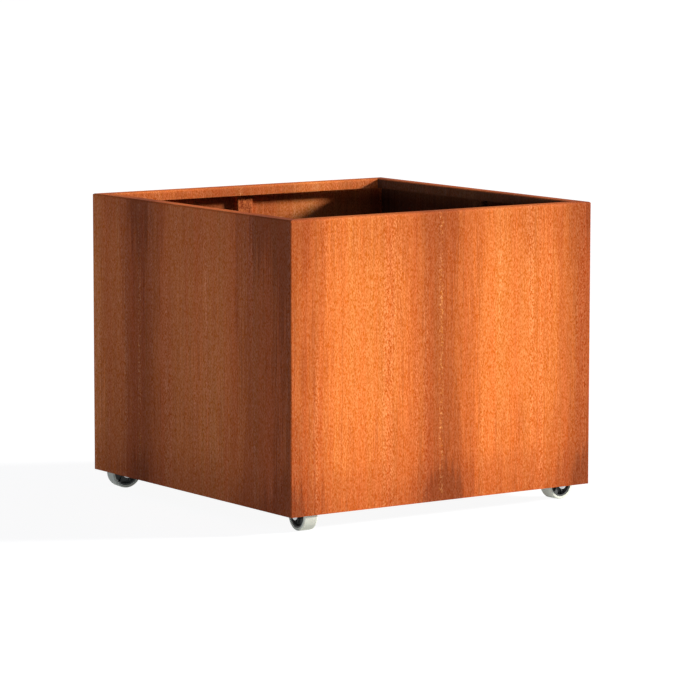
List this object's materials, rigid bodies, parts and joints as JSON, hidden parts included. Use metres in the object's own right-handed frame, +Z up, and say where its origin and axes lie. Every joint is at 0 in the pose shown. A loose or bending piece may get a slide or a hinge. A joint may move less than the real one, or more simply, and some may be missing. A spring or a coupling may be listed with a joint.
{
  "type": "rolling planter",
  "caption": "Square box planter of weathering steel with an inward-folded rim and a raised floor, on swivel casters set under its corners.",
  "frame": {"origin": "on the ground under the middle of the box", "axes": "+Z up; the front wall faces -Y and the left wall faces -X"},
  "size_m": [0.9, 0.9, 0.75],
  "materials": {
    "corten": "rusted, dry and matte, with an upright grain",
    "corten_inside": "rusted, dry and matte",
    "zinc": "zinc plated, satin",
    "steel": "bright, ground",
    "black_plastic": "moulded, satin",
    "grey_rubber": "light grey, smooth"
  },
  "bodies": {
    "planter": {"front_wall": "corten", "right_wall": "corten", "back_wall": "corten", "left_wall": "corten", "front_post": "corten_inside", "right_post": "corten_inside", "back_post": "corten_inside", "left_post": "corten_inside", "floor_plate": "corten_inside", "front_floor_rib": "corten_inside", "back_floor_rib": "corten_inside", "front_left_pad": "corten_inside", "front_left_top_plate": "zinc", "front_left_plate_bolts": "zinc", "front_left_kingpin": "zinc", "front_right_pad": "corten_inside", "front_right_top_plate": "zinc", "front_right_plate_bolts": "zinc", "front_right_kingpin": "zinc", "back_right_pad": "corten_inside", "back_right_top_plate": "zinc", "back_right_plate_bolts": "zinc", "back_right_kingpin": "zinc", "back_left_pad": "corten_inside", "back_left_top_plate": "zinc", "back_left_plate_bolts": "zinc", "back_left_kingpin": "zinc"},
    "front_left_caster": {"front_left_ball_race": "steel", "front_left_fork": "zinc", "front_left_axle_bolt": "zinc", "front_left_axle_nut": "zinc", "front_left_bush": "steel"},
    "front_left_wheel": {"front_left_wheel_core": "black_plastic", "front_left_tyre": "grey_rubber"},
    "front_right_caster": {"front_right_ball_race": "steel", "front_right_fork": "zinc", "front_right_axle_bolt": "zinc", "front_right_axle_nut": "zinc", "front_right_bush": "steel"},
    "front_right_wheel": {"front_right_wheel_core": "black_plastic", "front_right_tyre": "grey_rubber"},
    "back_right_caster": {"back_right_ball_race": "steel", "back_right_fork": "zinc", "back_right_axle_bolt": "zinc", "back_right_axle_nut": "zinc", "back_right_bush": "steel"},
    "back_right_wheel": {"back_right_wheel_core": "black_plastic", "back_right_tyre": "grey_rubber"},
    "back_left_caster": {"back_left_ball_race": "steel", "back_left_fork": "zinc", "back_left_axle_bolt": "zinc", "back_left_axle_nut": "zinc", "back_left_bush": "steel"},
    "back_left_wheel": {"back_left_wheel_core": "black_plastic", "back_left_tyre": "grey_rubber"}
  },
  "joints": [
    {"name": "front_left_swivel", "type": "hinge", "parent": "planter", "child": "front_left_caster", "pos_m": [-0.38196, -0.38196, 0.095], "axis": [0, 0, 1], "continuous": true},
    {"name": "front_left_roll", "type": "hinge", "parent": "front_left_caster", "child": "front_left_wheel", "pos_m": [-0.38335, -0.40191, 0.04], "axis": [0.9976, -0.0698, 0], "continuous": true},
    {"name": "front_right_swivel", "type": "hinge", "parent": "planter", "child": "front_right_caster", "pos_m": [0.38196, -0.38196, 0.095], "axis": [0, 0, 1], "continuous": true},
    {"name": "front_right_roll", "type": "hinge", "parent": "front_right_caster", "child": "front_right_wheel", "pos_m": [0.40185, -0.37987, 0.04], "axis": [-0.1045, 0.9945, 0], "continuous": true},
    {"name": "back_right_swivel", "type": "hinge", "parent": "planter", "child": "back_right_caster", "pos_m": [0.38196, 0.38196, 0.095], "axis": [0, 0, 1], "continuous": true},
    {"name": "back_right_roll", "type": "hinge", "parent": "back_right_caster", "child": "back_right_wheel", "pos_m": [0.37196, 0.39928, 0.04], "axis": [-0.866, -0.5, 0], "continuous": true},
    {"name": "back_left_swivel", "type": "hinge", "parent": "planter", "child": "back_left_caster", "pos_m": [-0.38196, 0.38196, 0.095], "axis": [0, 0, 1], "continuous": true},
    {"name": "back_left_roll", "type": "hinge", "parent": "back_left_caster", "child": "back_left_wheel", "pos_m": [-0.40185, 0.38405, 0.04], "axis": [-0.1045, -0.9945, 0], "continuous": true}
  ]
}
